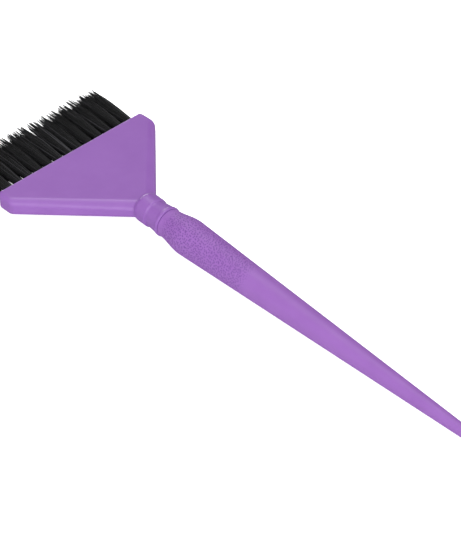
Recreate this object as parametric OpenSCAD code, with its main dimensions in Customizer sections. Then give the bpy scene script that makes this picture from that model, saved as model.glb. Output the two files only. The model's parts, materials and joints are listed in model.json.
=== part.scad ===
// Tint brush for hair colour: a flat, roughly triangular head that holds two staggered rows
// of bristle tufts, and a round tapered handle whose spigot is pressed into the head's neck.
// +Y runs from the handle to the bristles, +X across the head and +Z up.
// The origin is on the flat back of the head, midway between the ring and the front edge.

/* [Head] */
// Width of the head across its front edge
head_width = 61.2; // [50:0.1:74]
// Length of the head, from the middle of the ring to the front edge
head_length = 46; // [38:0.1:56]
// Thickness of the head between its two flat faces
head_thickness = 6.2; // [5:0.1:8]
// Length of the straight short side behind each front corner
side_length = 6.4; // [4:0.1:9]
// Radius of the front corners
corner_radius = 2.8; // [1:0.1:4]
// Width of the sloping margin along each short side
short_margin = 1.3; // [0.5:0.1:1.6]
// Width of the sloping margin of each long side at its front end
margin_front = 2.4; // [1:0.1:2.6]
// Width of the sloping margin of each long side at its neck end
margin_neck = 3.2; // [1:0.1:4]
// Angle of the margins to the flat faces
margin_slope = 25.5; // [15:0.5:32]

/* [Neck] */
// Diameter of the round boss that grows out of the head
boss_diameter = 9.8; // [9:0.1:12]
// Distance from the ring to the nose of the boss
boss_reach = 11.2; // [10:0.1:15]
// Diameter of the waist between the boss and the ring
waist_diameter = 9.1; // [8.2:0.1:10.5]
// Diameter of the ring that ends the neck
ring_diameter = 10.3; // [9.6:0.1:12.5]
// Length of the ring's cylinder
ring_length = 1.2; // [0.8:0.1:2]

/* [Handle] */
// Length of the handle behind the ring
handle_length = 150; // [110:1:190]
// Angle that the handle drops below the plane of the head
set_angle = 2.5; // [0:0.1:5]
// Diameter of the grip where it leaves the ring
grip_start_diameter = 9.7; // [9:0.1:11]
// Largest diameter of the grip
grip_diameter = 12.2; // [11:0.1:15]
// Length over which the grip swells to its largest diameter
swell_length = 9.6; // [6:0.1:16]
// Length of the slim stretch at the end of the tail
tail_length = 26; // [15:1:40]
// Diameter of the tail where the slim stretch begins
tail_diameter = 3.6; // [3:0.1:5]
// Diameter of the rounded tip
tip_diameter = 2.2; // [1.6:0.1:2.8]
// Diameter of the spigot inside the neck
spigot_diameter = 6; // [4:0.1:7.4]
// Length of the spigot inside the neck
spigot_length = 8; // [5:0.1:9]
// Gap on the radius and at the end between the spigot and its socket
spigot_gap = 0.04; // [0.02:0.01:0.1]

/* [Bristles] */
// Tufts in the upper row; the lower row has one more
upper_tufts = 13; // [9:1:15]
// Length of bristle that stands out of the head
bristle_length = 22; // [12:0.5:30]
// Distance from the last tuft's middle to the side of the head
tuft_margin = 3.1; // [3:0.05:6]
// Diameter of a tuft hole
hole_diameter = 2.3; // [1.8:0.1:2.8]
// Wall between a row of holes and the nearer flat face of the head
face_wall = 0.5; // [0.4:0.05:1]
// Depth of a tuft hole
hole_depth = 6; // [5:0.1:6.4]
// Gap between a bundle of filaments and the wall of its hole
bundle_gap = 0.05; // [0.02:0.01:0.1]
// Distance that the metal anchor bites into the wall on each side of its hole
anchor_bite = 0.2; // [0.1:0.05:0.4]
// Length of the anchor along the hole
anchor_length = 1.4; // [1:0.1:2]
// Thickness of the anchor
anchor_thickness = 0.3; // [0.2:0.05:0.5]
// Thickness of the bundle's fold between the anchor and the bottom of the hole
fold_thickness = 1; // [0.7:0.1:1.5]
// Furthest that the rows bend, up or down
bend_angle = 25; // [10:1:30]
// Gap left between neighbouring tufts and beside the head's front face
tuft_clearance = 0.3; // [0.1:0.05:0.5]

/* [Hidden] */
purple = [0.62, 0.44, 0.75];
near_black = [0.10, 0.10, 0.11];
bright_steel = [0.75, 0.75, 0.77];
$fn = 64;
arc_steps = 8;
// Cutting shapes reach this far past what they cut.
over = 0.5;
// A cutting block larger than the head in every direction
big = 2 * (head_width + head_length);

lower_tufts = upper_tufts + 1;
tuft_pitch = (head_width - 2 * tuft_margin) / upper_tufts;

// The two rows lie as far apart as the walls over their holes allow.
row_gap = head_thickness - 2 * face_wall - hole_diameter;
anchor_width = hole_diameter + 2 * anchor_bite;

// Heights and places in the brush's own frame
mid_z = head_thickness / 2;
ring_y = -head_length / 2;
front_y = head_length / 2;

// The long sides run in to the boss and end inside it.
side_y = head_length - side_length;
neck_half_width = 0.37 * boss_diameter;
neck_y = 0.8 * boss_reach;

// Along the handle's axis, from the middle of the ring
ring_back = -0.8;
ring_edge = 0.25;
waist_y = ring_length + 3.2;
boss_step_y = waist_y + 0.9;
boss_shoulder = 2.2;

// Free tufts start far enough out for the whole row to turn about its roots.
bundle_radius = hole_diameter / 2 - bundle_gap;
root_radius = bundle_radius - bundle_gap;
root_gap = root_radius * tan(bend_angle) + tuft_clearance / 3;
// The rows close up as they bend, so the nearest neighbour is across the rows or in the row.
nearest_tuft = min(tuft_pitch, norm([tuft_pitch / 2, row_gap * cos(bend_angle)]));
tuft_radius = (nearest_tuft - tuft_clearance) / 2;
tuft_tip_radius = 0.3 * tuft_radius;

function upper_name(i) = str("upper_tuft_", i < 10 ? "0" : "", i);
function lower_name(i) = str("lower_tuft_", i < 10 ? "0" : "", i);

// Points on an arc, from angle a0 to angle a1
function arc_points(centre, radius, a0, a1) = [
    for (i = [0 : arc_steps])
        let (a = a0 + (a1 - a0) * i / arc_steps)
        centre + radius * [cos(a), sin(a)]
];

// Place of tuft i in a row of that many, across the head
function tuft_x(i, count) = (i - (count + 1) / 2) * tuft_pitch;

// Puts its children in a frame with the middle of the ring at the origin and the head level.
module at_ring() {
    translate([0, ring_y, mid_z]) children();
}

// Turns a shape made along +Z so that it lies along the axis of the neck and the handle.
module along_handle() {
    at_ring() rotate([set_angle - 90, 0, 0]) children();
}

// Puts its children at the mouth of a tuft hole, with +Z pointing out of the head.
module at_hole(i, count, side) {
    translate([tuft_x(i, count), front_y, mid_z + side * row_gap / 2])
        rotate([-90, 0, 0]) children();
}

// Outline of the head seen from above, with the middle of the ring at the origin
module head_outline() {
    corner = [head_width / 2 - corner_radius, head_length - corner_radius];
    right_side = concat(
        [[neck_half_width, neck_y]],
        [[head_width / 2, side_y]],
        arc_points(corner, corner_radius, 0, 90)
    );
    left_side = [for (i = [len(right_side) - 1 : -1 : 0]) [-right_side[i][0], right_side[i][1]]];
    polygon(concat(right_side, left_side));
}

// A block whose underside falls away from the upper face, outward from a crease on that face.
// at is a point on the crease, and turn is the direction that the margin faces.
module margin_cutter(at, turn) {
    translate([at[0], at[1], head_thickness / 2])
        rotate([0, 0, turn])
            rotate([0, margin_slope, 0])
                translate([-big / 2, -big / 2, 0]) cube([big, big, big]);
}

// The margins of one face: two long sides and two short sides.
// A long side's margin widens towards the neck, so its crease is turned a little.
module face_margins() {
    long_side = [head_width / 2 - neck_half_width, side_y - neck_y];
    side_turn = -atan2(long_side[0], long_side[1]);
    crease_turn = side_turn - atan2(margin_neck - margin_front, norm(long_side));
    inward = -margin_front * [cos(side_turn), sin(side_turn)];
    for (m = [0, 1]) mirror([m, 0, 0]) {
        margin_cutter([head_width / 2 - short_margin, side_y], 0);
        margin_cutter([head_width / 2, side_y] + inward, crease_turn);
    }
}

// The flat plate of the head, thinner towards its edges
module plate() {
    difference() {
        linear_extrude(head_thickness, center = true) head_outline();
        face_margins();
        mirror([0, 0, 1]) face_margins();
    }
}

// Boss, waist and ring, turned about the handle's axis
module neck() {
    boss_r = boss_diameter / 2;
    waist_r = waist_diameter / 2;
    ring_r = ring_diameter / 2;
    rotate_extrude() polygon(concat(
        [[0, ring_back]],
        [[ring_r - ring_edge, ring_back]],
        [[ring_r, ring_back + ring_edge]],
        [[ring_r, ring_back + ring_length]],
        [[(ring_r + waist_r) / 2, (ring_back + ring_length + waist_y) / 2]],
        [[waist_r, waist_y]],
        [[waist_r, waist_y + ring_edge]],
        [[boss_r - ring_edge / 2, boss_step_y - ring_edge]],
        [[boss_r, boss_step_y]],
        arc_points([boss_r - boss_shoulder, boss_reach - boss_shoulder], boss_shoulder, 0, 90),
        [[0, boss_reach]]
    ));
}

// Slits that the anchors cut for themselves across the holes of one row
module anchor_row(count, side) {
    for (i = [1 : count]) at_hole(i, count, side)
        translate([0, 0, fold_thickness + anchor_length / 2 - hole_depth])
            cube([anchor_width, anchor_thickness, anchor_length], center = true);
}

module hole_row(count, side) {
    for (i = [1 : count]) at_hole(i, count, side)
        translate([0, 0, -hole_depth]) cylinder(h = hole_depth + over, d = hole_diameter);
}

// Head moulding: plate, neck, socket for the handle and the drilled tuft holes
module head() {
    socket_depth = spigot_length + spigot_gap;
    color(purple) difference() {
        union() {
            at_ring() plate();
            along_handle() neck();
        }
        along_handle() translate([0, 0, ring_back - over])
            cylinder(h = socket_depth - ring_back + over, r = spigot_diameter / 2 + spigot_gap);
        hole_row(upper_tufts, 1);
        hole_row(lower_tufts, -1);
        anchor_row(upper_tufts, 1);
        anchor_row(lower_tufts, -1);
    }
}

// Radius of the grip at a share u of the swell, as a smooth wave from start to crest
function swell_radius(u) =
    grip_start_diameter / 2 + (grip_diameter - grip_start_diameter) / 4 * (1 - cos(180 * u));

// Handle: spigot, swelling grip, long straight taper and a rounded tip
module handle() {
    spigot_r = spigot_diameter / 2;
    start_r = grip_start_diameter / 2;
    tip_r = tip_diameter / 2;
    swell_steps = 16;
    swell_start = ring_back - ring_edge;
    swell = [
        for (i = [0 : swell_steps])
            [swell_radius(i / swell_steps), swell_start - swell_length * i / swell_steps]
    ];
    color(purple) along_handle() rotate_extrude() polygon(concat(
        [[0, spigot_length]],
        [[spigot_r - ring_edge, spigot_length]],
        [[spigot_r, spigot_length - ring_edge]],
        [[spigot_r, ring_back]],
        [[start_r - ring_edge, ring_back]],
        swell,
        [[tail_diameter / 2, tail_length - handle_length]],
        arc_points([0, tip_r - handle_length], tip_r, 0, -90)
    ));
}

// Bundles of filaments inside the holes, each folded round its anchor
module tuft_root_row(count, side) {
    bottom = bundle_radius / 2;
    color(near_black) difference() {
        for (i = [1 : count]) at_hole(i, count, side)
            translate([0, 0, bundle_gap - hole_depth]) rotate_extrude() polygon(concat(
                [[0, 0]],
                arc_points([bundle_radius - bottom, bottom], bottom, -90, 0),
                [[bundle_radius, hole_depth - bundle_gap]],
                [[0, hole_depth - bundle_gap]]
            ));
        anchor_row(count, side);
    }
}

// The free part of one tuft, which flares from its root and closes to a feathered tip
module tuft(i, count, side) {
    flare = bristle_length / 4;
    shoulder = 0.8 * bristle_length;
    color(near_black) at_hole(i, count, side) rotate_extrude() polygon([
        [0, root_gap],
        [root_radius, root_gap],
        [tuft_radius, flare],
        [tuft_radius, shoulder],
        [tuft_tip_radius, bristle_length],
        [0, bristle_length]
    ]);
}

module upper_tuft_roots() {
    tuft_root_row(upper_tufts, 1);
}

module lower_tuft_roots() {
    tuft_root_row(lower_tufts, -1);
}

module upper_anchors() {
    color(bright_steel) anchor_row(upper_tufts, 1);
}

module lower_anchors() {
    color(bright_steel) anchor_row(lower_tufts, -1);
}

head();
handle();
upper_tuft_roots();
lower_tuft_roots();
upper_anchors();
lower_anchors();
for (i = [1 : upper_tufts])
    tuft(i, upper_tufts, 1);
for (i = [1 : lower_tufts])
    tuft(i, lower_tufts, -1);
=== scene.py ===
# %% [markdown]
# # A tint brush, from its frame to its finish
# A hair colour brush is four things: a flat moulded head, a round handle with a grained grip,
# two rows of nylon tufts, and small metal anchors that hold the tufts in their holes. The frame
# gives the place and size of each, and this lesson builds the surfaces on top of it.

# %% Load the frame
import json
import math

import bpy
import numpy as np
from mathutils import Matrix, Vector


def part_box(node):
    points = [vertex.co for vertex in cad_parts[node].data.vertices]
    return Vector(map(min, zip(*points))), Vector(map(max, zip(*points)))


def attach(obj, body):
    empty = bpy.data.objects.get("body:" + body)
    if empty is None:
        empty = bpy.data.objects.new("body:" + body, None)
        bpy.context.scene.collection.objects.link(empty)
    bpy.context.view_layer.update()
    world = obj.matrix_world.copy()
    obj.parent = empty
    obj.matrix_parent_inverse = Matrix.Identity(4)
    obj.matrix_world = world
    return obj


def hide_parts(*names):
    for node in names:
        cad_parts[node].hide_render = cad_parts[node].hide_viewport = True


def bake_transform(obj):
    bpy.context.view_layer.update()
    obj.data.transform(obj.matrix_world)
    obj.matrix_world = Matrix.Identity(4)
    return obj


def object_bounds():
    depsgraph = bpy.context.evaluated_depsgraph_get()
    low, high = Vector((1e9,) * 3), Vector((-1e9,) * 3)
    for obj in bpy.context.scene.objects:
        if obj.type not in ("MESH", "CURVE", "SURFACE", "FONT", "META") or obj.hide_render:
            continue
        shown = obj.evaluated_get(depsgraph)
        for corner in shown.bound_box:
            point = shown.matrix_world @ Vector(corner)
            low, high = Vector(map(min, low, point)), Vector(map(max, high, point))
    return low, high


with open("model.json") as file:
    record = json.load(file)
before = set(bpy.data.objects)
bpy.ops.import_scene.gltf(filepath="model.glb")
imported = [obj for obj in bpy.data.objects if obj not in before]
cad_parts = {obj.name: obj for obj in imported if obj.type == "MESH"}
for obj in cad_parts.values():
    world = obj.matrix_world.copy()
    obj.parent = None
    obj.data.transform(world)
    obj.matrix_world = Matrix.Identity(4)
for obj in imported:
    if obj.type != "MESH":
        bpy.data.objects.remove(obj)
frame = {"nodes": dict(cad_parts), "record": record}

cad_low, cad_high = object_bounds()
MM = 0.001
print("overall size, mm:", [round(v / MM, 1) for v in cad_high - cad_low])

# %% [markdown]
# ## The few places that everything hangs on
# The frame's origin is on the flat back of the head, midway between the ring of the neck and
# the front edge. The two bend joints lie where the rows of tufts leave the head, so they give
# the front edge, the middle of the head's thickness and the height of each row. The waist
# mount points along the handle, so it gives the direction in which neck and handle are turned.

# %% Read the driving places from the frame
record = frame["record"]
joints = {joint["name"]: joint for joint in record["behaviour"]["joints"]}
mounts = {mount["name"]: mount for mount in record["mounts"]}
upper_root = Vector(joints["upper_bend"]["pos_m"])
lower_root = Vector(joints["lower_bend"]["pos_m"])
front_y = upper_root.y
mid_z = (upper_root.z + lower_root.z) / 2
ring = Vector((0, -front_y, mid_z))
axis = Vector(mounts["waist_clip"]["axis"]).normalized()
half_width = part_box("head")[1].x
drop_angle = math.atan2(axis.z, axis.y)
print("front edge at", round(front_y / MM, 2), "mm, half width", round(half_width / MM, 2), "mm")
print("handle turned by", round(math.degrees(drop_angle), 2), "degrees")

# %% [markdown]
# ## The camera
# The brush is seen from its left side and from above, closer to its bristles than to its tail,
# through a fairly long lens. The camera is placed with respect to the ring, in a frame that is
# level with the handle: first a direction, then a distance, then a small slide that puts the
# ring in the upper left of the frame.

# %% Place the camera
CAMERA_TURN = math.radians(-43.503)
CAMERA_RISE = math.radians(42.518)
CAMERA_DISTANCE = 0.600
RING_LEFT = 0.0199
RING_ABOVE = 0.01722
CAMERA_LENS = 125.0

look_right = Vector((math.cos(CAMERA_TURN), math.sin(CAMERA_TURN), 0))
look_back = Vector((math.sin(CAMERA_TURN) * math.cos(CAMERA_RISE),
                    -math.cos(CAMERA_TURN) * math.cos(CAMERA_RISE),
                    math.sin(CAMERA_RISE)))
look_up = look_back.cross(look_right)
level = Matrix.Rotation(drop_angle, 3, "X")
offset = look_back * CAMERA_DISTANCE + look_right * RING_LEFT - look_up * RING_ABOVE
camera = bpy.data.objects.new("camera", bpy.data.cameras.new("camera"))
bpy.context.collection.objects.link(camera)
turned = Matrix([level @ look_right, level @ look_up, level @ look_back]).transposed().to_4x4()
turned.translation = ring + level @ offset
camera.matrix_world = turned
camera.data.lens = CAMERA_LENS
camera.data.clip_start = 0.01
bpy.context.scene.camera = camera
print("camera, mm from the ring:", [round(v / MM) for v in level @ offset])

# %% [markdown]
# ## Helpers for materials
# Colours are written as the hex values that one would read off a colour card. Shaders work in
# linear light, so one function turns hex into linear values. A second one adds a node with its
# settings and its links, which keeps each material short enough to read at a glance.

# %% Colour and node helpers
def linear(hex_colour):
    """A colour card's hex value as linear red, green, blue and alpha."""
    parts = [int(hex_colour[i:i + 2], 16) / 255 for i in (1, 3, 5)]
    return tuple(v / 12.92 if v <= 0.04045 else ((v + 0.055) / 1.055) ** 2.4 for v in parts) + (1,)


def add(tree, kind, links=None, values=None, **settings):
    """Adds a node. links maps its inputs to other nodes' outputs, values to plain values."""
    node = tree.nodes.new(kind)
    for name, value in settings.items():
        setattr(node, name, value)
    for key, value in (values or {}).items():
        node.inputs[key].default_value = value
    for key, output in (links or {}).items():
        tree.links.new(output, node.inputs[key])
    return node


def new_material(name):
    """An empty material with its output node, ready for a shader."""
    material = bpy.data.materials.new(name)
    material.use_nodes = True
    material.node_tree.nodes.clear()
    return material, material.node_tree, material.node_tree.nodes.new("ShaderNodeOutputMaterial")


def ramp(tree, factor, stops):
    """A colour ramp from (place, colour) stops."""
    node = add(tree, "ShaderNodeValToRGB", {"Fac": factor})
    while len(node.color_ramp.elements) < len(stops):
        node.color_ramp.elements.new(0.5)
    for element, (place, colour) in zip(node.color_ramp.elements, stops):
        element.position = place
        element.color = colour
    return node.outputs["Color"]


def grey(value):
    return (value, value, value, 1)


# %% [markdown]
# ## Moulded polypropylene
# Head and handle are injection moulded in a soft purple polypropylene. The mould is fine-blasted,
# so the surface is satin: an even, slightly milky colour with a wide, weak shine. Pigment flows
# with the melt and leaves faint clouds a few millimetres wide, and the blasted steel leaves pits
# of about 0.05 mm, drawn here at 0.35 mm so that they show at all at this distance. Light also
# travels a little way into this plastic, which softens every edge: that is the subsurface part.
# The grip has the same plastic with a moulded grain. Its mesh carries a number called groove,
# which is 1 at the bottom of the grain. The finish is duller there, and its colour is darker
# there as painted shade in the pits.

# %% Purple polypropylene
CLOUD_SIZE = 9 * MM
PIT_SIZE = 0.35 * MM
GLOSS_SWING = 0.04
GROOVE_ROUGHNESS = 0.62


def polypropylene(name, pale, deep, gloss, groove_shade_colour=None):
    """Satin polypropylene between a pale and a deep tone. gloss is its middle roughness."""
    material, tree, output = new_material(name)
    place = add(tree, "ShaderNodeTexCoord").outputs["Object"]
    clouds = add(tree, "ShaderNodeTexNoise", {"Vector": place},
                 {"Scale": 1 / CLOUD_SIZE, "Detail": 3.0, "Roughness": 0.55})
    pits = add(tree, "ShaderNodeTexNoise", {"Vector": place},
               {"Scale": 1 / PIT_SIZE, "Detail": 2.0, "Roughness": 0.6})
    colour = ramp(tree, clouds.outputs["Fac"], [(0.35, linear(deep)), (0.65, linear(pale))])
    roughness = ramp(tree, pits.outputs["Fac"], [(0.3, grey(gloss - GLOSS_SWING)),
                                                 (0.7, grey(gloss + GLOSS_SWING))])
    # Painted shade: at the bottom of the grain the colour darkens towards the grip's last colour; the duller
    # roughness there is the real finish.
    if groove_shade_colour:
        groove = add(tree, "ShaderNodeAttribute", attribute_name="groove").outputs["Fac"]
        groove_shaded = add(tree, "ShaderNodeMix", {0: groove, 6: colour}, {7: linear(groove_shade_colour)},
                    data_type="RGBA")
        dulled = add(tree, "ShaderNodeMix", {0: groove, 2: roughness}, {3: GROOVE_ROUGHNESS},
                     data_type="FLOAT")
        colour, roughness = groove_shaded.outputs[2], dulled.outputs[0]
    bump = add(tree, "ShaderNodeBump", {"Height": pits.outputs["Fac"]},
               {"Strength": 0.25, "Distance": 0.02 * MM})
    shader = add(tree, "ShaderNodeBsdfPrincipled",
                 {"Base Color": colour, "Roughness": roughness, "Normal": bump.outputs["Normal"]},
                 {"IOR": 1.49, "Subsurface Weight": 0.12, "Subsurface Scale": 1.2 * MM,
                  "Subsurface Radius": (1.0, 0.7, 1.0)})
    tree.links.new(shader.outputs["BSDF"], output.inputs["Surface"])
    return material


head_plastic = polypropylene("polypropylene_satin_moulded", "#8c5dab", "#895aa8", 0.36)
# The grip's pale and deep tones are a shade lighter than the head's: painted light that lifts the grip, which
# is the same plastic. Its last colour, #633584, is painted shade in the pits.
grip_plastic = polypropylene("polypropylene_grained_moulded", "#915faf", "#8d5bab", 0.52, "#633584")
print("made", head_plastic.name, "and", grip_plastic.name)

# %% [markdown]
# ## Nylon filament
# The bristles are extruded nylon 6 monofilament, 0.15 to 0.2 mm thick, dyed black through. It
# has a satin gloss along its length, and no two filaments catch the light alike, so a tuft looks
# like fine dark and grey strokes. Each filament carries its own random number, which sets its
# tone and its roughness here. Most tones differ at random between near blacks; the highest numbers
# run up to a light grey, a painted highlight that draws the grey strokes.

# %% Black nylon
def black_nylon():
    material, tree, output = new_material("nylon_filament_black")
    own = add(tree, "ShaderNodeAttribute", attribute_name="filament_tone_and_highlight").outputs["Fac"]
    # Up to 0.85 the stops are the filaments' own random tone; the top stop, #4c4c50, is a painted highlight
    # on the palest filaments.
    tone = ramp(tree, own, [(0.0, linear("#08080a")), (0.85, linear("#131315")),
                            (1.0, linear("#4c4c50"))])
    roughness = ramp(tree, own, [(0.0, grey(0.6)), (1.0, grey(0.4))])
    shader = add(tree, "ShaderNodeBsdfPrincipled", {"Base Color": tone, "Roughness": roughness},
                 {"IOR": 1.53, "Specular IOR Level": 0.3})
    tree.links.new(shader.outputs["BSDF"], output.inputs["Surface"])
    return material


nylon = black_nylon()
print("made", nylon.name)

# %% [markdown]
# ## Drawn steel
# Each tuft is folded round a little anchor, cut from drawn steel strip. It is hidden in its
# hole, but it gets its real finish: bright metal with fine lines along the direction in which
# the strip was drawn, about 0.05 mm apart.

# %% Steel strip
def drawn_steel():
    material, tree, output = new_material("steel_strip_bright_drawn")
    place = add(tree, "ShaderNodeTexCoord").outputs["Object"]
    stretch = add(tree, "ShaderNodeMapping", {"Vector": place}, {"Scale": (1.0, 20.0, 20.0)})
    lines = add(tree, "ShaderNodeTexNoise", {"Vector": stretch.outputs["Vector"]},
                {"Scale": 1 / (1.0 * MM), "Detail": 2.0})
    colour = ramp(tree, lines.outputs["Fac"], [(0.3, linear("#b9bbbe")), (0.7, linear("#d4d6d8"))])
    roughness = ramp(tree, lines.outputs["Fac"], [(0.3, grey(0.2)), (0.7, grey(0.34))])
    shader = add(tree, "ShaderNodeBsdfPrincipled", {"Base Color": colour, "Roughness": roughness},
                 {"Metallic": 1.0})
    tree.links.new(shader.outputs["BSDF"], output.inputs["Surface"])
    return material


steel = drawn_steel()
print("made", steel.name)


# %% Finish the hidden pieces that keep their own shape
def give(node, material):
    """Puts one material in every slot of a frame piece."""
    piece = frame["nodes"][node]
    if not piece.material_slots:
        piece.data.materials.append(material)
    for material_slot in piece.material_slots:
        material_slot.material = material


for node in ("upper_anchors", "lower_anchors"):
    give(node, steel)
for node in ("upper_tuft_roots", "lower_tuft_roots"):
    give(node, nylon)

# %% [markdown]
# ## The head as a distance field
# The head is a moulding: a flat plate with sloping margins runs into a round neck, and every
# edge is a little soft, some more than others. Beveling a mesh would fail where the plate meets
# the boss, and sculpting would lose the true sizes. So the shape is written as a distance: a
# function that is negative inside the plastic, zero on its skin and positive outside. Flat faces
# are one line each, and a soft maximum rounds the edge between two of them by a chosen width.

# %% Soft joins
def soft_max(a, b, width):
    """The larger of two distances, rounded over that width where they meet."""
    overlap = np.maximum(width - np.abs(a - b), 0.0)
    return np.maximum(a, b) + overlap * overlap / (4 * width)


def soft_min(a, b, width):
    """The smaller of two distances, with a fillet of that width where they meet."""
    return -soft_max(-a, -b, width)


def rounded_corner(across, along, radius):
    """Distance to a square corner whose tip is rounded, from distances to its two sides."""
    a, b = across + radius, along + radius
    return np.hypot(np.maximum(a, 0), np.maximum(b, 0)) + np.minimum(np.maximum(a, b), 0) - radius


# %% [markdown]
# The plate, in millimetres from the middle of the ring: a rounded front corner, a straight short
# side behind it, then a long side that runs in to the boss. The front face bulges 0.5 mm past
# the line about which the tufts bend. The margins slope down from creases on the face, gently at
# first and more steeply towards the edge, so each is a pair of planes. A long side's margin
# widens towards the neck, so its crease is turned a little. The plate is the same above and
# below, left and right.

# %% The plate
FRONT_BULGE = 0.5
LENGTH = 2 * front_y / MM + FRONT_BULGE
HALF_WIDTH = half_width / MM
HALF_THICKNESS = mid_z / MM
SIDE_LENGTH = 6.4 + FRONT_BULGE
CORNER_RADIUS = 1.7
NECK_HALF_WIDTH = 3.6
NECK_END = 9.0
SHORT_MARGIN = 1.3
MARGIN_FRONT = 2.4
MARGIN_NECK = 3.2
GENTLE_SLOPE = math.radians(13)
STEEP_SLOPE = math.radians(31)
GENTLE_WIDTH = 0.9
OUTLINE_SOFT = 0.7
SLOPES_SOFT = 0.3
MARGINS_SOFT = 0.2
CREASE_SOFT = 0.08
EDGE_SOFT = 0.9

side_start = np.array([HALF_WIDTH, LENGTH - SIDE_LENGTH])
side_run = side_start - np.array([NECK_HALF_WIDTH, NECK_END])
side_turn = -math.atan2(side_run[0], side_run[1])
side_out = np.array([math.cos(side_turn), math.sin(side_turn)])
crease_turn = side_turn - math.atan2(MARGIN_NECK - MARGIN_FRONT, np.hypot(*side_run))
crease_out = np.array([math.cos(crease_turn), math.sin(crease_turn)])
crease_start = side_start - MARGIN_FRONT * side_out


def margin(outward, z, gentle_width):
    """A margin's gentle and steep planes. outward is the distance past the crease on the face."""
    drop = gentle_width * math.tan(GENTLE_SLOPE)
    gentle = math.sin(GENTLE_SLOPE) * outward + math.cos(GENTLE_SLOPE) * (z - HALF_THICKNESS)
    steep = (math.sin(STEEP_SLOPE) * (outward - gentle_width)
             + math.cos(STEEP_SLOPE) * (z - HALF_THICKNESS + drop))
    return soft_max(gentle, steep, SLOPES_SOFT)


def plate(x, y, z):
    x, z = np.abs(x), np.abs(z)
    corner = rounded_corner(x - HALF_WIDTH, y - LENGTH, CORNER_RADIUS)
    long_side = (x - side_start[0]) * side_out[0] + (y - side_start[1]) * side_out[1]
    outline = soft_max(corner, long_side, OUTLINE_SOFT)
    past_crease = (x - crease_start[0]) * crease_out[0] + (y - crease_start[1]) * crease_out[1]
    short_margin = margin(x - HALF_WIDTH + SHORT_MARGIN, z, GENTLE_WIDTH / 2)
    margins = soft_max(short_margin, margin(past_crease, z, GENTLE_WIDTH), MARGINS_SOFT)
    faces = soft_max(z - HALF_THICKNESS, margins, CREASE_SOFT)
    return soft_max(outline, faces, EDGE_SOFT)


# %% [markdown]
# The neck is turned: a lip at its end, a flare down to a waist, and a boss with a round shoulder
# that grows out of the plate. It is written in its own directions, along the handle and away
# from its axis.

# %% The neck
LIP_BACK = -0.8
LIP_FRONT = 0.5
LIP_RADIUS = 5.15
FLARE_RADIUS = 4.95
WAIST_RADIUS = 4.5
WAIST_START = 4.6
BOSS_RADIUS = 4.95
BOSS_START = 5.2
BOSS_END = 11.2
BOSS_SHOULDER = 2.2
LIP_SOFT = 0.4
BOSS_SOFT = 0.35
WAIST_REACH = 2
WAIST_FILLET = 0.2
LIP_FILLET = 0.15
BOSS_FILLET = 0.2
PLATE_FILLET = 0.4
flare_slope = math.atan2(FLARE_RADIUS - WAIST_RADIUS, WAIST_START - LIP_FRONT)


def turned_frame(x, y, z):
    """Distance along the handle's axis, and away from it."""
    along = y * math.cos(drop_angle) + z * math.sin(drop_angle)
    height = z * math.cos(drop_angle) - y * math.sin(drop_angle)
    return along, np.hypot(x, height)


def neck(x, y, z):
    along, away = turned_frame(x, y, z)
    lip = rounded_corner(away - LIP_RADIUS, np.abs(along - (LIP_BACK + LIP_FRONT) / 2)
                         - (LIP_FRONT - LIP_BACK) / 2, LIP_SOFT)
    flare = ((away - FLARE_RADIUS) * math.cos(flare_slope)
             + (along - LIP_FRONT) * math.sin(flare_slope))
    flare = np.maximum(np.maximum(flare, along - BOSS_START), LIP_BACK + LIP_SOFT - along)
    waist = np.maximum(away - WAIST_RADIUS, np.abs(along - BOSS_START) - WAIST_REACH)
    boss = rounded_corner(away - BOSS_RADIUS, along - BOSS_END, BOSS_SHOULDER)
    boss = soft_max(boss, BOSS_START - along, BOSS_SOFT)
    turned_part = soft_min(soft_min(flare, waist, WAIST_FILLET), lip, LIP_FILLET)
    return soft_min(turned_part, boss, BOSS_FILLET)


# %% [markdown]
# The head is then drilled: a socket for the handle's spigot, and one blind hole for each tuft.
# A row's holes repeat at an even pitch, so one formula finds the nearest hole of a row.

# %% The holes
tufts, roots = {}, {}
for row, height in (("upper", upper_root.z), ("lower", lower_root.z)):
    tufts[row] = sorted(n for n in frame["nodes"] if n.startswith(row + "_tuft_") and n[-1].isdigit())
    roots[row] = [Vector((sum(b.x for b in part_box(n)) / 2, front_y, height)) for n in tufts[row]]
PITCH = (roots["upper"][1].x - roots["upper"][0].x) / MM
HOLE_RADIUS = 1.15
HOLE_DEPTH = 6.0 + FRONT_BULGE
SOCKET_RADIUS = 3.04
SOCKET_DEPTH = 8.04
HOLE_SOFT = 0.15
print("tufts:", len(roots["upper"]), "above and", len(roots["lower"]), "below")
print("pitch:", round(PITCH, 3), "mm")


def hole_row(x, y, z, row):
    """Distance to the nearest hole of one row, negative inside it."""
    first = roots[row][0].x / MM
    index = np.clip(np.round((x - first) / PITCH), 0, len(roots[row]) - 1)
    height = (roots[row][0].z - mid_z) / MM
    round_wall = np.hypot(x - first - index * PITCH, z - height) - HOLE_RADIUS
    return np.maximum(round_wall, LENGTH - HOLE_DEPTH - y)


def head_shape(x, y, z):
    along, away = turned_frame(x, y, z)
    solid = soft_min(plate(x, y, z), neck(x, y, z), PLATE_FILLET)
    socket = np.maximum(away - SOCKET_RADIUS, along - SOCKET_DEPTH)
    holes = np.minimum(hole_row(x, y, z, "upper"), hole_row(x, y, z, "lower"))
    return soft_max(np.maximum(solid, -socket), -holes, HOLE_SOFT)


# %% [markdown]
# ## From a distance to a skin
# Space is cut into small cubes. Every cube that the surface passes through gets one vertex, and
# every edge between an inside and an outside corner gets one face, which joins the four cubes
# round it. The vertices are then slid along the slope of the distance until they lie on the
# surface, and evened out between two such steps. The result is a closed mesh of even quads.

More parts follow.
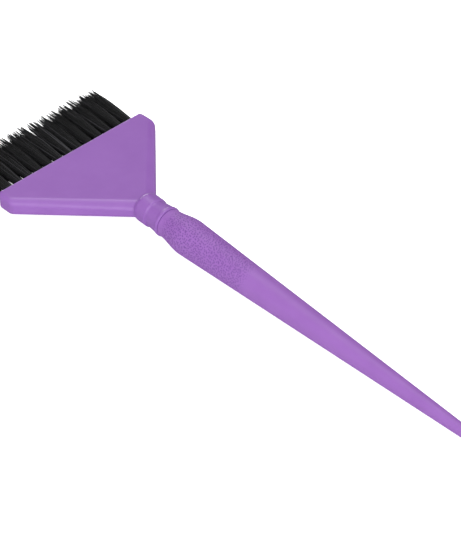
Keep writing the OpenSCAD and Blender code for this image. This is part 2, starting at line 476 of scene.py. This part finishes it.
# %% Skin a distance field
def slide(shape, points, steps=3, reach=0.01):
    """Moves points on to the surface of a shape, along the slope of its distance."""
    for _ in range(steps):
        here = shape(*points.T)
        slope = np.stack([(shape(*(points + shift).T) - shape(*(points - shift).T)) / (2 * reach)
                          for shift in np.eye(3) * reach], 1)
        length = np.maximum((slope * slope).sum(1), 0.25)
        points = points - slope * (here / length)[:, None]
    return points


def skin(shape, low, high, cell):
    """Vertices and quads of a shape's surface, in the shape's own units."""
    axes = [np.arange(low[i], high[i] + cell, cell) for i in range(3)]
    inside = shape(*np.meshgrid(*axes, indexing="ij")) < 0
    corners = [inside[a:a - 1 or None, b:b - 1 or None, c:c - 1 or None]
               for a in (0, 1) for b in (0, 1) for c in (0, 1)]
    count = sum(corner.astype(np.int8) for corner in corners)
    crossed = (count > 0) & (count < 8)
    number = np.full(crossed.shape, -1)
    number[crossed] = np.arange(crossed.sum())
    cells = np.argwhere(crossed)
    points = np.array([axes[i][0] for i in range(3)]) + (cells + 0.5) * cell
    quads = []
    for direction in range(3):
        u, v = (direction + 1) % 3, (direction + 2) % 3
        near = np.moveaxis(inside, (direction, u, v), (0, 1, 2))
        leaving = near[:-1, 1:-1, 1:-1] & ~near[1:, 1:-1, 1:-1]
        entering = ~near[:-1, 1:-1, 1:-1] & near[1:, 1:-1, 1:-1]
        numbers = np.moveaxis(number, (direction, u, v), (0, 1, 2))
        around = [numbers[:, :-1, :-1], numbers[:, 1:, :-1], numbers[:, 1:, 1:], numbers[:, :-1, 1:]]
        quads.append(np.stack([ring_cell[leaving] for ring_cell in around], 1))
        quads.append(np.stack([ring_cell[entering] for ring_cell in around[::-1]], 1))
    return points, np.concatenate(quads)


def even_out(points, quads):
    """Moves each point to the middle of its neighbours."""
    total, count = np.zeros_like(points), np.zeros(len(points))
    for i in range(4):
        a, b = quads[:, i], quads[:, (i + 1) % 4]
        for start, end in ((a, b), (b, a)):
            for k in range(3):
                total[:, k] += np.bincount(start, points[end, k], len(points))
            count += np.bincount(start, minlength=len(points))
    return total / count[:, None]


def new_piece(name, points, faces, material):
    """A smooth mesh object at the origin, from points in metres."""
    mesh = bpy.data.meshes.new(name)
    mesh.from_pydata(points.tolist(), [], faces.tolist() if hasattr(faces, "tolist") else faces)
    mesh.validate()
    mesh.shade_smooth()
    mesh.materials.append(material)
    piece = bpy.data.objects.new(name, mesh)
    bpy.context.collection.objects.link(piece)
    return piece


# %% Build the head
CELL = 0.26
FIELD_LOW = (-HALF_WIDTH - 0.75, -1.6, -5.8)
FIELD_HIGH = (HALF_WIDTH + 0.75, LENGTH + 0.8, 5.8)
points, quads = skin(head_shape, FIELD_LOW, FIELD_HIGH, CELL)
points = slide(head_shape, points)
for _ in range(2):
    points = slide(head_shape, even_out(points, quads), steps=2)
head = new_piece("head_moulding", points * MM + np.array(ring), quads, head_plastic)
print("head:", len(points), "points,", 2 * len(quads), "triangles")
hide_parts("head")
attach(head, "brush")

# %% [markdown]
# ## The handle
# The handle is turned about one axis, so it is lathed: a profile of radii along the axis, swept
# round. The grip swells behind the ring and then tapers in one long straight line. The first
# forty millimetres carry a moulded grain, which is relief and not only colour, so the mesh is
# fine there and coarse along the smooth tail.

# %% The handle's profile
handle_low, handle_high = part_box("handle")
SPIGOT_LENGTH = 8.0
SPIGOT_RADIUS = 3.0
GRIP_START_RADIUS = 4.85
GRIP_START = -1.05
SWELL_LENGTH = 9.6
TAIL_LENGTH = 26.0
TAIL_RADIUS = 1.8
TIP_RADIUS = 1.1
GRAIN_END = -41.0
SPIGOT_CHAMFER = 0.25
grip_radius = handle_high.x / MM
handle_length = -(handle_low.y / MM + front_y / MM) / math.cos(drop_angle)
print("handle:", round(handle_length, 1), "mm behind the ring")
print("grip:", round(2 * grip_radius, 1), "mm across")


def handle_radius(along):
    """Radius of the grip and the tail at a distance along the axis, negative behind the ring."""
    swell = np.clip((GRIP_START - along) / SWELL_LENGTH, 0, 1)
    grip = GRIP_START_RADIUS + (grip_radius - GRIP_START_RADIUS) * (1 - np.cos(np.pi * swell)) / 2
    crest = GRIP_START - SWELL_LENGTH
    places = [-handle_length, TAIL_LENGTH - handle_length, crest]
    taper = np.interp(along, places, [TIP_RADIUS, TAIL_RADIUS, grip_radius])
    return np.where(along > crest, grip, taper)


# %% [markdown]
# Where the taper begins, the wave of the swell and the straight line meet at a small angle,
# which leaves a faint crest round the grip.

# %% Lathe the handle
COLUMNS = 236
GRAIN_STEP = 0.16
TAIL_STEP = 3.0
grain_rows = np.arange(GRIP_START, GRAIN_END, -GRAIN_STEP)
tail_count = int((handle_length + GRAIN_END) / TAIL_STEP)
tail_rows = np.linspace(GRAIN_END, TIP_RADIUS - handle_length, tail_count)
tip_angles = np.linspace(0, math.pi / 2, 9)[1:-1]
spigot = [(SPIGOT_LENGTH, SPIGOT_RADIUS - SPIGOT_CHAMFER),
          (SPIGOT_LENGTH - SPIGOT_CHAMFER, SPIGOT_RADIUS),
          (LIP_BACK, SPIGOT_RADIUS), (LIP_BACK, GRIP_START_RADIUS - SPIGOT_CHAMFER)]
tip = [(TIP_RADIUS - handle_length - TIP_RADIUS * math.sin(a), TIP_RADIUS * math.cos(a))
       for a in tip_angles]
body = [(a, float(handle_radius(a))) for a in np.concatenate([grain_rows, tail_rows])]
profile = np.array(spigot + body + tip)


def lathe(name, profile, columns, material):
    """Sweeps (along, radius) points round the handle's axis and closes both ends with a point."""
    angles = np.arange(columns) * 2 * math.pi / columns - math.pi / 2
    rim = np.stack([np.cos(angles), np.zeros(columns), np.sin(angles)], 1)
    forward = np.array([0, 1, 0])
    level_points = (profile[:, None, 1:] * rim[None] + profile[:, None, :1] * forward).reshape(-1, 3)
    ends = np.array([[0, profile[0, 0], 0], [0, -handle_length, 0]])
    level_points = np.concatenate([level_points, ends])
    rows, last = len(profile), len(level_points)
    start = (np.arange(rows - 1)[:, None] * columns + np.arange(columns)).ravel()
    beside = (np.arange(rows - 1)[:, None] * columns + (np.arange(columns) + 1) % columns).ravel()
    sides = np.stack([start, beside, beside + columns, start + columns], 1).tolist()
    edge, around = np.arange(columns), (np.arange(columns) + 1) % columns
    front_cap = np.stack([around, edge, np.full(columns, last - 2)], 1).tolist()
    foot = (rows - 1) * columns
    back_cap = np.stack([foot + edge, foot + around, np.full(columns, last - 1)], 1).tolist()
    turn = np.array(level)
    turned_points = level_points @ turn.T * MM + np.array(ring)
    piece = new_piece(name, turned_points, sides + front_cap + back_cap, material)
    unrolled = np.zeros_like(level_points)
    unrolled[:len(profile) * columns, 0] = np.tile(angles * grip_radius, len(profile))
    unrolled[:, 1] = level_points[:, 1]
    place = piece.data.attributes.new("unrolled_place", "FLOAT_VECTOR", "POINT")
    place.data.foreach_set("vector", (unrolled * MM).ravel().astype(np.float32))
    return piece


handle = lathe("handle_grip_and_tail", profile, COLUMNS, grip_plastic)
print("handle:", len(handle.data.vertices), "points")

# %% [markdown]
# ## Grain by Geometry Nodes
# The grain is a leather-like pattern of small round pits, up to 0.1 mm deep. They are drawn about
# 0.75 mm apart, coarser than the real grain, so that they show at all from this distance. A bump
# map would vanish from the exported mesh, so the pits are pressed into the mesh itself. Each
# point carries its place on the unrolled handle: a length round it and a length along it, with
# the seam underneath. A node tree reads a flat Voronoi pattern there and moves the points near
# the middle of a cell inward. The grain fades out at both ends.

# %% Node tree helpers
def new_tree(name, sockets):
    """An empty geometry tree with its named inputs, its input node and its output node."""
    tree = bpy.data.node_groups.new(name, "GeometryNodeTree")
    tree.interface.new_socket("Geometry", in_out="INPUT", socket_type="NodeSocketGeometry")
    tree.interface.new_socket("Geometry", in_out="OUTPUT", socket_type="NodeSocketGeometry")
    for socket, kind in sockets.items():
        tree.interface.new_socket(socket, in_out="INPUT", socket_type="NodeSocket" + kind)
    return tree, tree.nodes.new("NodeGroupInput").outputs, tree.nodes.new("NodeGroupOutput").inputs


def apply_tree(piece, tree, values):
    """Runs a tree on a piece with these input values and keeps the result as a plain mesh."""
    modifier = piece.modifiers.new(tree.name, "NODES")
    modifier.node_group = tree
    for item in tree.interface.items_tree:
        if item.in_out == "INPUT" and item.name in values:
            modifier[item.identifier] = values[item.name]
    bpy.context.view_layer.update()
    evaluated = piece.evaluated_get(bpy.context.evaluated_depsgraph_get())
    mesh = bpy.data.meshes.new_from_object(evaluated)
    piece.modifiers.remove(modifier)
    old = piece.data
    piece.data = mesh
    bpy.data.meshes.remove(old)
    mesh.name = piece.name
    return piece


def maths(tree, operation, a, b=None, c=None):
    """The result of one sum on fields or plain numbers."""
    node = tree.nodes.new("ShaderNodeMath")
    node.operation = operation
    for socket, value in zip(node.inputs, (a, b, c)):
        if isinstance(value, (int, float)):
            socket.default_value = value
        elif value is not None:
            tree.links.new(value, socket)
    return node.outputs[0]


def smooth_step(tree, value, low, high, start=0.0, end=1.0):
    """A smooth rise from start to end while value goes from low to high."""
    node = add(tree, "ShaderNodeMapRange", {"Value": value},
               {"From Min": low, "From Max": high, "To Min": start, "To Max": end},
               interpolation_type="SMOOTHSTEP")
    return node.outputs["Result"]


# %% Press the grain into the grip
PIT_MIDDLE = 0.1
PIT_EDGE = 0.4
GRAIN_RISE = (-1.6 * MM, -4.5 * MM)
GRAIN_FADE = (0.5 * MM, 5.0 * MM)


def grain_tree():
    tree, given, result = new_tree("moulded_grain", {
        "Pit spacing": "Float", "Pit depth": "Float", "Grain end": "Float", "Material": "Material"})
    unrolled = add(tree, "GeometryNodeInputNamedAttribute", None, {"Name": "unrolled_place"},
                   data_type="FLOAT_VECTOR").outputs["Attribute"]
    along = add(tree, "ShaderNodeSeparateXYZ", {"Vector": unrolled}).outputs["Y"]
    scale = maths(tree, "DIVIDE", 1.0, given["Pit spacing"])
    pits = add(tree, "ShaderNodeTexVoronoi", {"Vector": unrolled, "Scale": scale},
               {"Randomness": 0.8}, voronoi_dimensions="2D", feature="F1")
    pit = smooth_step(tree, pits.outputs["Distance"], PIT_MIDDLE, PIT_EDGE, 1.0, 0.0)
    rise = smooth_step(tree, along, *GRAIN_RISE)
    fade = smooth_step(tree, maths(tree, "SUBTRACT", along, given["Grain end"]), *GRAIN_FADE)
    groove = maths(tree, "MULTIPLY", pit, maths(tree, "MULTIPLY", rise, fade))
    depth = maths(tree, "MULTIPLY", groove, given["Pit depth"])
    normal = add(tree, "GeometryNodeInputNormal").outputs["Normal"]
    inward = add(tree, "ShaderNodeVectorMath",
                 {0: normal, "Scale": maths(tree, "MULTIPLY", depth, -1.0)}, operation="SCALE")
    pressed = add(tree, "GeometryNodeSetPosition", {"Geometry": given["Geometry"],
                  "Offset": inward.outputs["Vector"]})
    # groove also darkens the grip's colour in its material, as painted shade in the pits.
    marked = add(tree, "GeometryNodeStoreNamedAttribute", {"Geometry": pressed.outputs["Geometry"],
                 "Value": groove}, {"Name": "groove"}, data_type="FLOAT", domain="POINT")
    real = add(tree, "GeometryNodeRealizeInstances", {"Geometry": marked.outputs["Geometry"]})
    coloured = add(tree, "GeometryNodeSetMaterial", {"Geometry": real.outputs["Geometry"],
                   "Material": given["Material"]})
    tree.links.new(coloured.outputs["Geometry"], result["Geometry"])
    return tree


handle = apply_tree(handle, grain_tree(), {
    "Pit spacing": 0.75 * MM, "Pit depth": 0.1 * MM, "Grain end": GRAIN_END * MM,
    "Material": grip_plastic})
print("grained handle:", len(handle.data.polygons), "faces")
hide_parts("handle")
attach(handle, "brush")

# %% [markdown]
# ## Bristles by Geometry Nodes
# A tuft is some 220 filaments. They leave the hole close together, which leaves a narrow slit
# between tufts near the head, spread until neighbouring tufts just touch, and then gather
# into small pointed wisps, because they have been dipped and have dried that way. One tree makes
# a whole row from one point for each tuft: it doubles each point into filaments on a spiral, sets
# a few wisps in each tuft, finds the nearest wisp for each filament, and sweeps a four-sided
# tube that thins to its tip. All sizes are inputs, and the random numbers have a fixed seed.

# %% The tuft tree
GOLDEN_ANGLE = 2.39996
FIRST_SPLAY = 0.32
FIRST_SPLAY_LENGTH = 0.8 * MM
LATER_SPLAY = 0.68
SPLAY_LENGTH = 13 * MM
GATHER_START = 0.62
THINNING_START = 0.8
TIP_THICKNESS = 0.5


def disc_place(tree, index, count, turn):
    """A place on a disc of radius 1, evenly spread by the golden angle."""
    share = maths(tree, "DIVIDE", maths(tree, "ADD", index, 0.5), count)
    radius = maths(tree, "SQRT", share)
    angle = maths(tree, "ADD", maths(tree, "MULTIPLY", index, GOLDEN_ANGLE), turn)
    across = maths(tree, "MULTIPLY", radius, maths(tree, "COSINE", angle))
    upward = maths(tree, "MULTIPLY", radius, maths(tree, "SINE", angle))
    return add(tree, "ShaderNodeCombineXYZ", {"X": across, "Z": upward}).outputs["Vector"]


def vector(tree, operation, a, b):
    """Adds, subtracts or scales vectors."""
    node = tree.nodes.new("ShaderNodeVectorMath")
    node.operation = operation
    tree.links.new(a, node.inputs[0])
    tree.links.new(b, node.inputs["Scale" if operation == "SCALE" else 1])
    return node.outputs["Vector"]


def random_value(tree, low, high, seed, offset, number=None, kind="FLOAT"):
    """A random number or vector for each element, from the tree's seed and an own offset."""
    node = add(tree, "FunctionNodeRandomValue", {"Seed": maths(tree, "ADD", seed, offset)},
               data_type=kind)
    pair = (0, 1) if kind == "FLOAT_VECTOR" else (2, 3)
    node.inputs[pair[0]].default_value = low
    node.inputs[pair[1]].default_value = high
    if number is not None:
        tree.links.new(number, node.inputs["ID"])
    return node.outputs[0 if kind == "FLOAT_VECTOR" else 1]


def mix_vectors(tree, factor, a, b):
    """A place between two vectors."""
    node = add(tree, "ShaderNodeMix", data_type="VECTOR")
    tree.links.new(factor, node.inputs[0])
    tree.links.new(a, node.inputs[4])
    tree.links.new(b, node.inputs[5])
    return node.outputs[1]


def tuft_tree():
    tree, given, result = new_tree("tufts_of_filaments", {
        "Filaments": "Int", "Wisps": "Int", "Steps": "Int", "Hole radius": "Float", "Spread": "Float",
        "Tip spread": "Float", "Tuft lean": "Float", "Rounding of tuft": "Float",
        "Length": "Float", "Length variation": "Float", "Root depth": "Float", "Gather": "Float",
        "Taper of wisps": "Float", "Wander": "Float", "Lean": "Float", "Filament radius": "Float",
        "Seed": "Int", "Material": "Material"})
    tuft_points = add(tree, "GeometryNodeMeshToPoints", {"Mesh": given["Geometry"]}).outputs["Points"]
    place = add(tree, "GeometryNodeInputPosition").outputs["Position"]
    index = add(tree, "GeometryNodeInputIndex").outputs["Index"]
    turn = random_value(tree, 0.0, 6.283, given["Seed"], 1, index)
    turned_points = add(tree, "GeometryNodeStoreNamedAttribute",
                        {"Geometry": tuft_points, "Value": turn}, {"Name": "tuft_turn"},
                        data_type="FLOAT", domain="POINT").outputs["Geometry"]
    tuft_turn = add(tree, "GeometryNodeInputNamedAttribute", None, {"Name": "tuft_turn"},
                    data_type="FLOAT").outputs["Attribute"]
    wave = maths(tree, "SINE", maths(tree, "MULTIPLY", tuft_turn, 7.0))
    tuft_size = maths(tree, "MULTIPLY_ADD", wave, 0.05, 0.98)
    tuft_lean = add(tree, "ShaderNodeCombineXYZ", {"X": maths(tree, "MULTIPLY",
                    maths(tree, "COSINE", tuft_turn), given["Tuft lean"])}).outputs["Vector"]

    # A few wisps in each tuft, moved off their even places by chance
    wisps = add(tree, "GeometryNodeDuplicateElements", {"Geometry": turned_points,
                "Amount": given["Wisps"]}, domain="POINT")
    wisp_place = disc_place(tree, wisps.outputs["Duplicate Index"], given["Wisps"], tuft_turn)
    chance = random_value(tree, (-0.16, 0, -0.16), (0.16, 0, 0.16), given["Seed"], 2,
                          kind="FLOAT_VECTOR")
    wisp_offset = vector(tree, "SCALE", vector(tree, "ADD", wisp_place, chance), given["Tip spread"])
    wisp_points = add(tree, "GeometryNodeSetPosition", {"Geometry": wisps.outputs["Geometry"],
                      "Offset": wisp_offset}).outputs["Geometry"]

    # The filaments, each with its root, its splayed place and its nearest wisp
    threads = add(tree, "GeometryNodeDuplicateElements", {"Geometry": turned_points,
                  "Amount": given["Filaments"]}, domain="POINT")
    on_disc = disc_place(tree, threads.outputs["Duplicate Index"], given["Filaments"], tuft_turn)
    root_offset = vector(tree, "SCALE", on_disc, given["Hole radius"])
    splay_offset = vector(tree, "SCALE", on_disc, maths(tree, "MULTIPLY", given["Spread"], tuft_size))
    tip_place = vector(tree, "SCALE", on_disc, given["Tip spread"])
    nearest = add(tree, "GeometryNodeSampleNearest", {"Geometry": wisp_points,
                  "Sample Position": vector(tree, "ADD", place, tip_place)}, domain="POINT").outputs["Index"]
    wisp_at = add(tree, "GeometryNodeSampleIndex", {"Geometry": wisp_points, "Index": nearest},
                  data_type="FLOAT_VECTOR", domain="POINT")
    tree.links.new(place, wisp_at.inputs["Value"])
    wisp_from_tuft = vector(tree, "SUBTRACT", wisp_at.outputs["Value"], place)
    wisp_length = random_value(tree, -1.0, 1.0, given["Seed"], 3, nearest)
    own_length = random_value(tree, -1.0, 0.0, given["Seed"], 4)
    off_centre = add(tree, "ShaderNodeVectorMath",
                     {0: vector(tree, "SUBTRACT", wisp_from_tuft, tip_place)},
                     operation="LENGTH").outputs["Value"]
    varied = maths(tree, "ADD", maths(tree, "MULTIPLY", wisp_length, 0.6), own_length)
    varied = maths(tree, "MULTIPLY", varied, given["Length variation"])
    from_axis = add(tree, "ShaderNodeVectorMath", {0: on_disc}, operation="LENGTH").outputs["Value"]
    rounding = maths(tree, "MULTIPLY", maths(tree, "POWER", from_axis, 4.0), given["Rounding of tuft"])
    length = maths(tree, "SUBTRACT", maths(tree, "ADD", given["Length"], varied),
                   maths(tree, "ADD", rounding, maths(tree, "MULTIPLY", off_centre, given["Taper of wisps"])))
    wander = vector(tree, "SCALE", random_value(tree, (-1, -1, -1), (1, 1, 1), given["Seed"], 5,
                    kind="FLOAT_VECTOR"), given["Wander"])
    wander = vector(tree, "ADD", wander, tuft_lean)
    # This number sets each filament's own tone and, for the highest numbers, a painted highlight.
    tone = random_value(tree, 0.0, 1.0, given["Seed"], 6)

    carried = threads.outputs["Geometry"]
    fields = {}
    for name, value, kind in (("tuft_place", place, "FLOAT_VECTOR"),
                              ("root_offset", root_offset, "FLOAT_VECTOR"),
                              ("splay_offset", splay_offset, "FLOAT_VECTOR"),
                              ("wisp_offset", wisp_from_tuft, "FLOAT_VECTOR"),
                              ("wander", wander, "FLOAT_VECTOR"),
                              ("filament_length", length, "FLOAT"),
                              ("filament_tone_and_highlight", tone, "FLOAT")):
        carried = add(tree, "GeometryNodeStoreNamedAttribute", {"Geometry": carried, "Value": value},
                      {"Name": name}, data_type=kind, domain="POINT").outputs["Geometry"]
        fields[name] = add(tree, "GeometryNodeInputNamedAttribute", None, {"Name": name},
                           data_type=kind).outputs["Attribute"]

    # One straight line for each filament, bent into its course point by point
    line = add(tree, "GeometryNodeCurvePrimitiveLine")
    line.inputs["Start"].default_value = (0, 0, 0)
    line.inputs["End"].default_value = (0, 0.001, 0)
    stepped = add(tree, "GeometryNodeResampleCurve",
                  {"Curve": line.outputs["Curve"], "Count": given["Steps"]})
    copies = add(tree, "GeometryNodeInstanceOnPoints",
                 {"Points": carried, "Instance": stepped.outputs["Curve"]})
    lines = add(tree, "GeometryNodeRealizeInstances", {"Geometry": copies.outputs["Instances"]})
    share = add(tree, "GeometryNodeSplineParameter").outputs["Factor"]
    reach = maths(tree, "ADD", fields["filament_length"], given["Root depth"])
    out = maths(tree, "SUBTRACT", maths(tree, "MULTIPLY", share, reach), given["Root depth"])
    at_once = maths(tree, "SUBTRACT", 1.0, maths(tree, "EXPONENT",
                    maths(tree, "DIVIDE", maths(tree, "MAXIMUM", out, 0.0), -FIRST_SPLAY_LENGTH)))
    later = smooth_step(tree, out, 0.0, SPLAY_LENGTH, 0.0, LATER_SPLAY)
    splay = maths(tree, "ADD", maths(tree, "MULTIPLY", at_once, FIRST_SPLAY), later)
    gathered = maths(tree, "MULTIPLY", smooth_step(tree, share, GATHER_START, 1.0), given["Gather"])
    course = mix_vectors(tree, splay, fields["root_offset"], fields["splay_offset"])
    course = mix_vectors(tree, gathered, course, fields["wisp_offset"])
    course = vector(tree, "ADD", course, vector(tree, "SCALE", fields["wander"],
                    maths(tree, "MULTIPLY", share, share)))
    forward = add(tree, "ShaderNodeCombineXYZ", {"Y": out, "Z": maths(tree, "MULTIPLY",
                  maths(tree, "MAXIMUM", out, 0.0), given["Lean"])}).outputs["Vector"]
    course = vector(tree, "ADD", vector(tree, "ADD", fields["tuft_place"], course), forward)
    bent = add(tree, "GeometryNodeSetPosition",
               {"Geometry": lines.outputs["Geometry"], "Position": course})
    thinning = smooth_step(tree, share, THINNING_START, 1.0, 1.0, TIP_THICKNESS)
    thickness = maths(tree, "MULTIPLY", given["Filament radius"], thinning)
    ring_shape = add(tree, "GeometryNodeCurvePrimitiveCircle", None, {"Resolution": 4, "Radius": 1.0})
    tubes = add(tree, "GeometryNodeCurveToMesh",
                {"Curve": bent.outputs["Geometry"], "Profile Curve": ring_shape.outputs["Curve"],
                 "Scale": thickness}, {"Fill Caps": True})
    smooth = add(tree, "GeometryNodeSetShadeSmooth", {"Geometry": tubes.outputs["Mesh"]})
    real = add(tree, "GeometryNodeRealizeInstances", {"Geometry": smooth.outputs["Geometry"]})
    coloured = add(tree, "GeometryNodeSetMaterial", {"Geometry": real.outputs["Geometry"],
                   "Material": given["Material"]})
    tree.links.new(coloured.outputs["Geometry"], result["Geometry"])
    return tree


# %% Grow both rows
bristle_length = cad_high.y - front_y
tufts_tree = tuft_tree()
for row, seed in (("upper", 11), ("lower", 23)):
    start = bpy.data.meshes.new(row + "_bristles")
    start.from_pydata([tuple(p) for p in roots[row]], [], [])
    bristles = bpy.data.objects.new(row + "_bristles", start)
    bpy.context.collection.objects.link(bristles)
    apply_tree(bristles, tufts_tree, {
        "Filaments": 220, "Wisps": 19, "Steps": 8, "Hole radius": 1.05 * MM, "Spread": 2.15 * MM,
        "Tip spread": 2.1 * MM, "Tuft lean": 0.3 * MM, "Rounding of tuft": 1.6 * MM,
        "Length": bristle_length + 1.5 * MM, "Length variation": 1.4 * MM, "Root depth": 0.5 * MM,
        "Gather": 0.92, "Taper of wisps": 4.0, "Wander": 0.2 * MM, "Lean": 0.04,
        "Filament radius": 0.08 * MM, "Seed": seed, "Material": nylon})
    print(row, "row:", len(bristles.data.polygons), "faces")
    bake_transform(bristles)
    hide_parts(*tufts[row])

# %% [markdown]
# ## Floor and light
# The brush lies over white paper in a light tent. The tent is brightest on the side from which
# the brush is looked at and fades to nothing on the far side, so margins and grip, which face the
# bright side, come out lighter than the flat face. The paper shines white to the eye, but as a
# reflection it is a mid grey. Three soft boxes add to the tent: one overhead, whose shine falls
# along the creases of the face, one low and behind, which lights the front edge from the far
# side, and a large weak one on the near side.

# %% Floor
FLOOR_GAP = 0.2 * MM
FLOOR_HALF = 3.0
floor_z = cad_low.z - FLOOR_GAP
floor_corners = [(x * FLOOR_HALF, y * FLOOR_HALF, floor_z) for x, y in ((-1, -1), (1, -1), (1, 1), (-1, 1))]
floor_mesh = bpy.data.meshes.new("studio_floor")
floor_mesh.from_pydata(floor_corners, [], [(0, 1, 2, 3)])
floor = bpy.data.objects.new("studio_floor", floor_mesh)
bpy.context.collection.objects.link(floor)
floor_paint, floor_nodes, floor_output = new_material("studio_paper_white")
light_path = add(floor_nodes, "ShaderNodeLightPath").outputs
shine = add(floor_nodes, "ShaderNodeMapRange", {"Value": light_path["Is Camera Ray"]},
            {"To Min": 0.3, "To Max": 0.75})
dull = add(floor_nodes, "ShaderNodeBsdfDiffuse", None, {"Color": linear("#f4f4f4")})
glow = add(floor_nodes, "ShaderNodeEmission", {"Strength": shine.outputs["Result"]},
           {"Color": grey(1.0)})
seen = add(floor_nodes, "ShaderNodeAddShader", {0: dull.outputs["BSDF"], 1: glow.outputs["Emission"]})
reflected = add(floor_nodes, "ShaderNodeBsdfDiffuse", None, {"Color": linear("#808080")})
paper = add(floor_nodes, "ShaderNodeMixShader", {0: light_path["Is Glossy Ray"], 1: seen.outputs["Shader"],
            2: reflected.outputs["BSDF"]})
floor_nodes.links.new(paper.outputs["Shader"], floor_output.inputs["Surface"])
floor_mesh.materials.append(floor_paint)

# %% Light tent
TENT_LIGHT = 0.75
TENT_RISE = 0.75
tent_side = Vector((-0.5, -0.87, 0))
world = bpy.data.worlds.new("light_tent")
bpy.context.scene.world = world
world.use_nodes = True
tent = world.node_tree
direction = add(tent, "ShaderNodeTexCoord").outputs["Generated"]
towards = add(tent, "ShaderNodeVectorMath", {0: direction}, {1: tent_side},
              operation="DOT_PRODUCT").outputs["Value"]
strength = add(tent, "ShaderNodeMapRange", {"Value": towards},
               {"From Min": -1.0, "From Max": 1.0, "To Min": TENT_LIGHT - TENT_RISE,
                "To Max": TENT_LIGHT + TENT_RISE}).outputs["Result"]
tent.links.new(strength, tent.nodes["Background"].inputs["Strength"])
tent.nodes["Background"].inputs["Color"].default_value = grey(1.0)


# %% Soft boxes
def soft_box(name, place, size, power):
    """A square area light that looks at the middle of the head."""
    light = bpy.data.lights.new(name, "AREA")
    light.size = size
    light.energy = power
    box = bpy.data.objects.new(name, light)
    box.location = place
    box.rotation_euler = (Vector(place) * -1).to_track_quat("-Z", "Y").to_euler()
    bpy.context.collection.objects.link(box)


soft_box("crease_soft_box", (0.27, 0.33, 0.95), 0.45, 3.2)
soft_box("front_edge_soft_box", (0.46, 0.88, 0.08), 0.4, 2.4)
soft_box("near_soft_box", (-0.5, -0.5, 0.62), 0.8, 3.0)
bpy.context.scene.view_settings.view_transform = "Standard"
